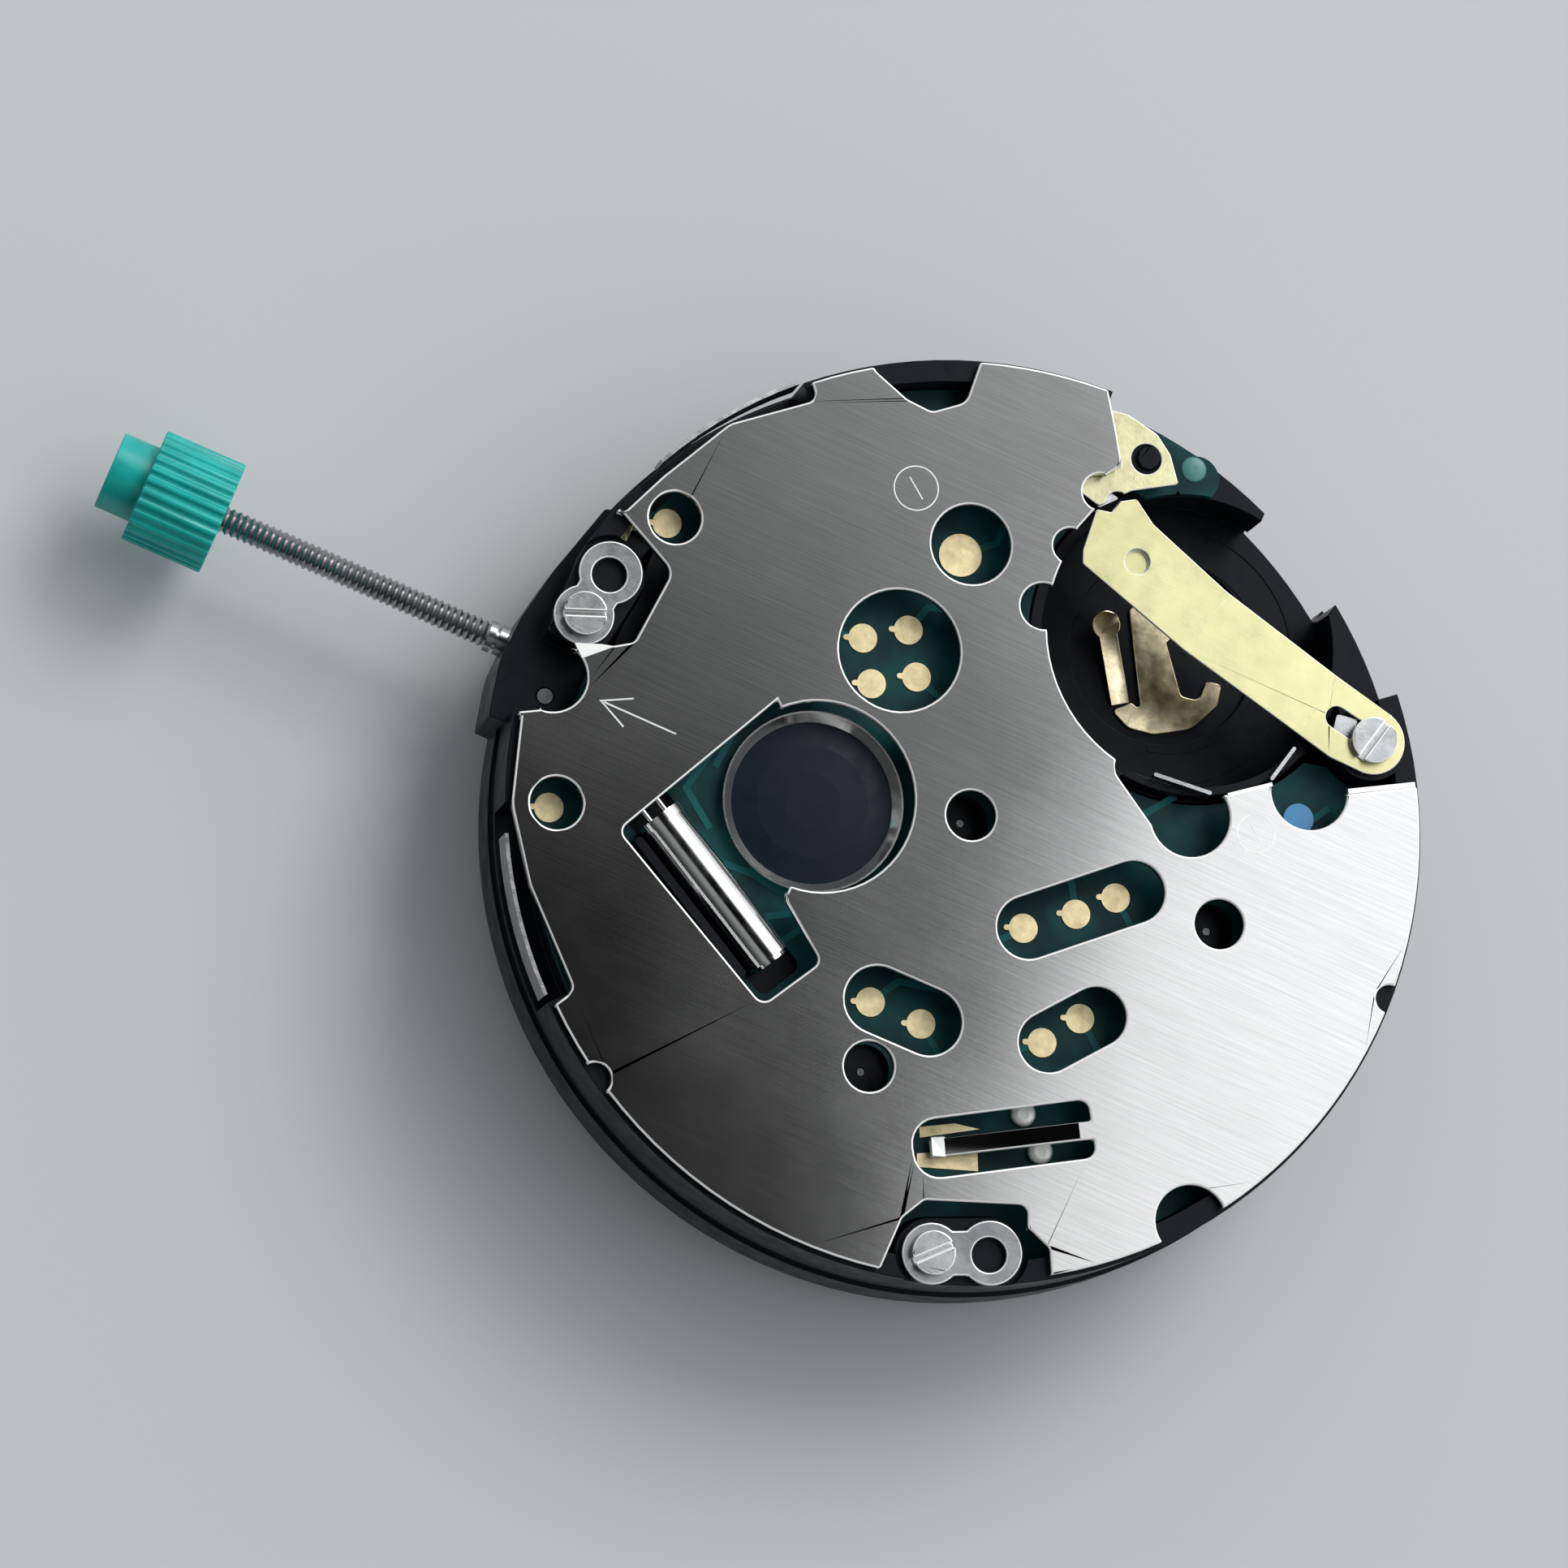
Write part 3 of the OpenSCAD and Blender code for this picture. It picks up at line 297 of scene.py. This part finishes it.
def shading_by_angle():
    """Node group that shades smooth up to the HARD_EDGE angle; level faces stay flat."""
    tree = bpy.data.node_groups.new("shading_by_angle", "GeometryNodeTree")
    for way in ("INPUT", "OUTPUT"):
        tree.interface.new_socket("Geometry", in_out=way, socket_type="NodeSocketGeometry")
    start, end = tree.nodes.new("NodeGroupInput"), tree.nodes.new("NodeGroupOutput")
    edge = tree.nodes.new("GeometryNodeInputMeshEdgeAngle")
    hard = tree.nodes.new("FunctionNodeCompare")
    hard.operation = "GREATER_THAN"
    hard.inputs[1].default_value = HARD_EDGE
    normals = tree.nodes.new("GeometryNodeSetMeshNormal")
    normals.mode = "SHARPNESS"
    normals.inputs["Remove Custom"].default_value = True
    facing = tree.nodes.new("GeometryNodeInputNormal")
    height = tree.nodes.new("ShaderNodeSeparateXYZ")
    upright = tree.nodes.new("ShaderNodeMath")
    upright.operation = "ABSOLUTE"
    level = tree.nodes.new("FunctionNodeCompare")
    level.operation = "GREATER_THAN"
    level.inputs[1].default_value = LEVEL_FACE
    tree.links.new(facing.outputs[0], height.inputs[0])
    tree.links.new(height.outputs["Z"], upright.inputs[0])
    tree.links.new(upright.outputs[0], level.inputs[0])
    tree.links.new(level.outputs[0], normals.inputs["Face Sharpness"])
    tree.links.new(edge.outputs[0], hard.inputs[0])
    tree.links.new(start.outputs[0], normals.inputs[0])
    tree.links.new(hard.outputs[0], normals.inputs["Edge Sharpness"])
    tree.links.new(normals.outputs[0], end.inputs[0])
    return tree


ANGLE_SHADING = shading_by_angle()


def soften(name, width_um, edge_look=None):
    """Small rounds on the sharp edges, in the piece's own finish or in a near-white one that paints a
    highlight along them.
    """
    obj = NODES[name]
    weld = obj.modifiers.new("joined", "WELD")
    weld.merge_threshold = JOIN_WITHIN
    bevel = obj.modifiers.new("edges", "BEVEL")
    bevel.width = width_um * UM
    bevel.segments = ROUND_STEPS
    bevel.limit_method = "ANGLE"
    bevel.angle_limit = ROUNDED_FROM
    bevel.use_clamp_overlap = False
    obj.modifiers.new("shading", "NODES").node_group = ANGLE_SHADING
    if edge_look:
        obj.data.materials.append(LOOKS[edge_look])
        bevel.material = 1


# Edge widths in micrometres: edges in a near-white finish that paints a highlight along them, then edges in
# the piece's own finish
PAINTED_HIGHLIGHT_EDGES = {"cover_plate": 65, "battery_strap": 30, "case_clamps": 50, "clamp_screws": 45,
              "strap_screw": 40, "contact_plate": 35}
PLAIN_EDGES = {"negative_contact": 30, "contact_arm": 30, "crown": 45, "main_plate": 35}
for name, width in PAINTED_HIGHLIGHT_EDGES.items():
    soften(name, width, "painted_highlight_steel")
for name, width in PLAIN_EDGES.items():
    soften(name, width)


# ---- Small pieces on the CAD bodies (places in mm, in the frame of the CAD) ----


def add_piece(name, mesh_data, look, body="movement", edge_um=0.0):
    """Turn finished mesh data into a flat-shaded piece that rides on a body."""
    mesh = bpy.data.meshes.new(name)
    mesh_data.to_mesh(mesh)
    mesh_data.free()
    for face in mesh.polygons:
        face.use_smooth = False
    mesh.materials.append(LOOKS[look])
    piece = bpy.data.objects.new(name, mesh)
    bpy.context.scene.collection.objects.link(piece)
    if edge_um:
        bevel = piece.modifiers.new("edges", "BEVEL")
        bevel.width = edge_um * UM
        bevel.segments = ROUND_STEPS
    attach(piece, body)
    return piece


SHARPEST_MITRE = 0.4


def along_path(data, points, half, low, high, closed=False):
    """A rectangular rib along a flat path, mitred at its corners."""
    count = len(points)
    rings = []
    for i, (x, y) in enumerate(points):
        before = Vector(points[i - 1]) if i or closed else None
        after = Vector(points[(i + 1) % count]) if i < count - 1 or closed else None
        here = Vector((x, y))
        ways = []
        if before:
            ways.append((here - before).normalized())
        if after:
            ways.append((after - here).normalized())
        way = sum(ways, Vector((0, 0))).normalized()
        side = Vector((-way.y, way.x)) * half / max(SHARPEST_MITRE, way.dot(ways[0]))
        corners = (here + side, low), (here + side, high), (here - side, high), (here - side, low)
        rings.append([data.verts.new((p.x * MM, p.y * MM, z * MM)) for p, z in corners])
    pairs = zip(rings, rings[1:] + rings[:1]) if closed else zip(rings, rings[1:])
    for a, b in pairs:
        for k in range(4):
            data.faces.new((a[k], b[k], b[(k + 1) % 4], a[(k + 1) % 4]))
    if not closed:
        data.faces.new(rings[0])
        data.faces.new(rings[-1][::-1])


def ribs(name, paths, half, low, high, look, body="movement", closed=False):
    """One piece made of ribs along several paths, each twice half wide."""
    data = bmesh.new()
    for points in paths:
        along_path(data, points, half, low, high, closed)
    bmesh.ops.recalc_face_normals(data, faces=data.faces)
    return add_piece(name, data, look, body)


def sheet_part(name, outline, low, high, look, edge_um=20.0, lift=0.0):
    """A flat pressed piece with softened edges; lift raises its last corner."""
    data = bmesh.new()
    levels = [[data.verts.new((x * MM, y * MM, (z + (lift if i == len(outline) - 1 else 0)) * MM))
               for i, (x, y) in enumerate(outline)] for z in (low, high)]
    data.faces.new(levels[0][::-1])
    data.faces.new(levels[1])
    count = len(outline)
    for i in range(count):
        j = (i + 1) % count
        data.faces.new((levels[0][i], levels[0][j], levels[1][j], levels[1][i]))
    bmesh.ops.recalc_face_normals(data, faces=data.faces)
    return add_piece(name, data, look, edge_um=edge_um)


TURNED_STEPS = 32


def turned(name, centre, profile, look):
    """A small round part from its half section, as (radius, height) pairs from the rim to the middle."""
    angles = [2 * math.pi * k / TURNED_STEPS for k in range(TURNED_STEPS)]
    data = bmesh.new()
    rings = [[data.verts.new(((centre[0] + r * math.cos(a)) * MM, (centre[1] + r * math.sin(a)) * MM, z * MM))
              for a in angles] for r, z in profile]
    for lower, upper in zip(rings, rings[1:]):
        for k in range(TURNED_STEPS):
            j = (k + 1) % TURNED_STEPS
            data.faces.new((lower[k], lower[j], upper[j], upper[k]))
    data.faces.new(rings[-1])
    data.faces.new(rings[0][::-1])
    piece = add_piece(name, data, look)
    for face in piece.data.polygons:
        face.use_smooth = len(face.vertices) == 4
    return piece


CIRCLE_STEPS = 36


def circle_path(centre, radius, start=0.0, end=360.0):
    """Points on a circle, or on an arc from start to end in degrees."""
    span = end - start
    count = CIRCLE_STEPS if span >= 360 else CIRCLE_STEPS + 1
    angles = [math.radians(start + span * k / CIRCLE_STEPS) for k in range(count)]
    return [(centre[0] + radius * math.cos(a), centre[1] + radius * math.sin(a)) for a in angles]


def cover_marks():
    """Plain line marks: an arrow to the setting lever and two circles with a stroke."""
    low, high = COVER_TOP - 0.01, COVER_TOP + 0.006
    shaft = [(9.66, 1.44), (12.19, 1.43)]
    head = [(11.28, 1.91), (12.25, 1.43), (11.32, 0.94)]
    ribs("arrow_mark", [shaft, head], 0.028, low, high, "mark_steel")
    for number, centre, radius in ((1, (-8.74, -3.21), 0.62), (2, (5.55, -9.1), 0.72)):
        circle = circle_path(centre, radius)
        ribs(f"circle_mark_{number}", [circle], 0.02, low, high, "mark_steel", closed=True)
        stroke = [(centre[0] - radius * 0.45, centre[1] + radius * 0.35),
                  (centre[0] + radius * 0.45, centre[1] - radius * 0.35)]
        ribs(f"stroke_mark_{number}", [stroke], 0.02, low, high, "mark_steel")


def board_tracks():
    """Copper tracks under the lacquer, where the cover's windows show the board."""
    paths = [
        [(9.1, -0.4), (8.3, 1.2), (8.6, 2.6), (7.4, 3.5)], [(6.9, -2.0), (7.8, -0.2), (8.0, 1.6)],
        [(2.0, 4.6), (3.4, 5.1), (3.9, 5.9)], [(1.5, 2.4), (2.0, 4.4), (3.2, 4.5), (4.7, 5.4)],
        [(4.3, 4.5), (5.6, 4.3), (6.6, 4.35)], [(-1.16, 6.58), (-2.0, 7.2), (-2.1, 8.2)],
        [(0.6, 6.58), (0.0, 5.6), (-1.4, 5.3)], [(-4.99, 5.57), (-4.2, 6.2), (-3.9, 7.0)],
        [(-5.84, 4.36), (-6.7, 5.0), (-7.0, 6.0)], [(-3.08, 2.4), (-2.4, 3.2), (-2.3, 4.2)],
        [(-4.49, 1.29), (-4.0, 0.4), (-3.2, 0.1)], [(-5.49, 0.28), (-6.4, 1.0), (-7.0, 2.0)],
        [(3.11, -3.74), (2.1, -3.4), (1.8, -2.4)], [(4.37, -2.94), (4.4, -2.0)],
        [(5.18, -4.2), (6.1, -4.0), (6.6, -3.0)], [(3.92, -5.05), (3.6, -6.0), (2.6, -6.3)],
        [(3.27, -8.02), (2.3, -8.9), (2.3, -9.6)], [(-6.1, -3.6), (-5.2, -2.4), (-5.0, -1.4)],
        [(-10.9, -5.3), (-10.1, -4.0), (-9.0, -3.6)]]
    ribs("board_tracks", paths, 0.11, BOARD_TOP - 0.01, BOARD_TOP + 0.014, "board_track")
    drop = [(0.42, BOARD_TOP - 0.01), (0.42, BOARD_TOP + 0.02), (0.36, BOARD_TOP + 0.05),
            (0.1, BOARD_TOP + 0.06)]
    turned("lacquer_spot", (-2.75, -13.85), drop, "pale_teal")


def bent_edges():
    """Folded rims and small tabs of the cover; the steel tab and rims are near white, painted highlights."""
    sheet_part("lit_tab", [(13.31, 0.42), (12.85, -0.02), (12.5, -0.36), (12.9, -0.26), (13.72, 0.06)],
               COVER_TOP - 0.05, COVER_TOP + 0.012, "painted_highlight_steel", 10)
    rim_low, rim_high = COVER_TOP - 0.14, COVER_TOP + 0.004
    ribs("folded_rim_1", [[(-7.45, -4.0), (-8.66, -4.92)]], 0.06, rim_low, rim_high, "painted_highlight_steel")
    ribs("folded_rim_2", [[(-11.05, -5.72), (-13.0, -6.83)]], 0.08, rim_low, rim_high, "painted_highlight_steel")
    sheet_part("brass_tab", [(13.72, -4.38), (13.36, -4.36), (13.38, -3.82), (13.69, -3.84)],
               4.3, 4.42, "contact_brass", lift=0.2)


def tongue_parts():
    """Tip of the tongue and the feet of the springs under it, in the near-white finish of a painted
    highlight.
    """
    tip = [(-2.72, 9.86), (-3.14, 9.66), (-3.42, 10.26), (-2.98, 10.42)]
    sheet_part("tongue_tip", tip, 4.2, 4.3, "painted_highlight_steel", 30, lift=0.12)
    foot = [(0.4, BOARD_TOP), (0.4, BOARD_TOP + 0.16), (0.32, BOARD_TOP + 0.24), (0.12, BOARD_TOP + 0.2)]
    for number, centre in enumerate(((-5.25, 7.95), (-6.2, 8.85)), 1):
        turned(f"spring_foot_{number}", centre, foot, "painted_highlight_steel")


def battery_parts():
    """Creases across the strap and moulded rings in the floor of the well."""
    strap_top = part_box("battery_strap")[1].z / MM
    ribs("strap_creases", [[(-4.38, -7.98), (-5.12, -10.05)], [(-8.92, -7.1), (-9.45, -8.98)]],
         0.035, strap_top - 0.02, strap_top + 0.006, "crease_gilt", "battery_strap")
    well_centre = (-4.55, -8.55)
    ring_low, ring_high = 1.15, 1.24
    for number, radius in enumerate((3.25, 4.3), 1):
        arc = circle_path(well_centre, radius, 100, 330)
        ribs(f"well_ring_{number}", [arc], 0.05, ring_low, ring_high, "black_plastic")


cover_marks()
board_tracks()
bent_edges()
tongue_parts()
battery_parts()


# ---- Light, floor and camera ----

FLOOR_SIZE = 4
FLOOR_GAP = 20 * UM
bpy.ops.mesh.primitive_plane_add(size=FLOOR_SIZE, location=(0, 0, cad_low.z - FLOOR_GAP))
floor = bpy.context.object
floor.name = "floor"
floor.data.materials.append(Look("floor", (0.62, 0.63, 0.65), rough=0.8, Specular_IOR_Level=0.2).mat)


# Directions that the room light is graded by, and (radians from CEILING, brightness) of its dark patch
CEILING = (0.05, 0.0, 1)
BRIGHT_SIDE = (-0.5, -0.8, 0.35)
PATCH_STOPS = [(0.25, 0.0), (0.3, 0.27), (0.36, 0.66), (0.6, 0.95)]


def studio_world():
    """Soft room light: bright towards the far right, dim at the near left, with a dark ceiling patch."""
    world = bpy.data.worlds.new("studio")
    bpy.context.scene.world = world
    world.use_nodes = True
    tree = world.node_tree
    coords = tree.nodes.new("ShaderNodeTexCoord")

    def facing(axis):
        dot = tree.nodes.new("ShaderNodeVectorMath")
        dot.operation = "DOT_PRODUCT"
        dot.inputs[1].default_value = Vector(axis).normalized()
        tree.links.new(coords.outputs["Generated"], dot.inputs[0])
        return dot.outputs["Value"]

    def graded(value, stops):
        ramp = tree.nodes.new("ShaderNodeValToRGB")
        ramp.color_ramp.interpolation = "EASE"
        while len(ramp.color_ramp.elements) < len(stops):
            ramp.color_ramp.elements.new(0.5)
        for element, (position, level) in zip(ramp.color_ramp.elements, stops):
            element.position = position
            element.color = (level * 0.95, level * 0.98, level, 1)
        tree.links.new(value, ramp.inputs["Fac"])
        return ramp.outputs["Color"]

    angle = tree.nodes.new("ShaderNodeMath")
    angle.operation = "ARCCOSINE"
    tree.links.new(facing(CEILING), angle.inputs[0])
    patch = graded(angle.outputs[0], PATCH_STOPS)
    side = tree.nodes.new("ShaderNodeMapRange")
    tree.links.new(facing(BRIGHT_SIDE), side.inputs["Value"])
    for socket, value in (("From Min", -0.6), ("From Max", 0.9), ("To Min", 0.05), ("To Max", 1.1)):
        side.inputs[socket].default_value = value
    mix = tree.nodes.new("ShaderNodeVectorMath")
    mix.operation = "SCALE"
    tree.links.new(patch, mix.inputs[0])
    tree.links.new(side.outputs["Result"], mix.inputs["Scale"])
    background = tree.nodes["Background"]
    tree.links.new(mix.outputs[0], background.inputs["Color"])
    background.inputs["Strength"].default_value = 1.0


studio_world()


def softbox(name, direction, distance, size, watts, color):
    """Area light that faces the origin, with its sides square to the frame."""
    light = bpy.data.lights.new(name, "AREA")
    light.shape = "RECTANGLE"
    light.size, light.size_y = size
    light.energy = watts
    light.color = color
    lamp = bpy.data.objects.new(name, light)
    bpy.context.scene.collection.objects.link(lamp)
    away = Vector(direction).normalized()
    lamp.location = away * distance
    across = Vector((0, 1, 0)).cross(away).normalized()
    lamp.rotation_euler = Matrix((across, away.cross(across), away)).transposed().to_euler()


softbox("window", (-0.39, -0.22, 1), distance=0.56, size=(0.22, 0.3), watts=0.3, color=(0.97, 0.98, 1.0))
softbox("key", (-0.35, -1.0, 1.05), distance=0.6, size=(0.3, 0.3), watts=1.6, color=(1.0, 0.99, 0.97))

# The camera stands high up between 3 and 6 o'clock and looks down at the cover, turned about its own axis
CAMERA_AT = Vector((28.467, 48.634, COVER_TOP + 197.732)) * MM
CAMERA_AIM = Vector((5.9, 1.521, COVER_TOP)) * MM
CAMERA_ROLL = math.radians(48.514)
FOCAL_LENGTH, SENSOR_WIDTH = 149.07, 36

lens = bpy.data.cameras.new("camera")
lens.lens = FOCAL_LENGTH
lens.sensor_width = SENSOR_WIDTH
lens.clip_start = 0.01
lens.clip_end = 10
camera = bpy.data.objects.new("camera", lens)
bpy.context.scene.collection.objects.link(camera)
camera.location = CAMERA_AT
level_view = (CAMERA_AT - CAMERA_AIM).to_track_quat("Z", "Y").to_matrix()
camera.rotation_euler = (level_view @ Matrix.Rotation(CAMERA_ROLL, 3, "Z")).to_euler()
bpy.context.scene.camera = camera
bpy.context.scene.view_settings.view_transform = "Standard"
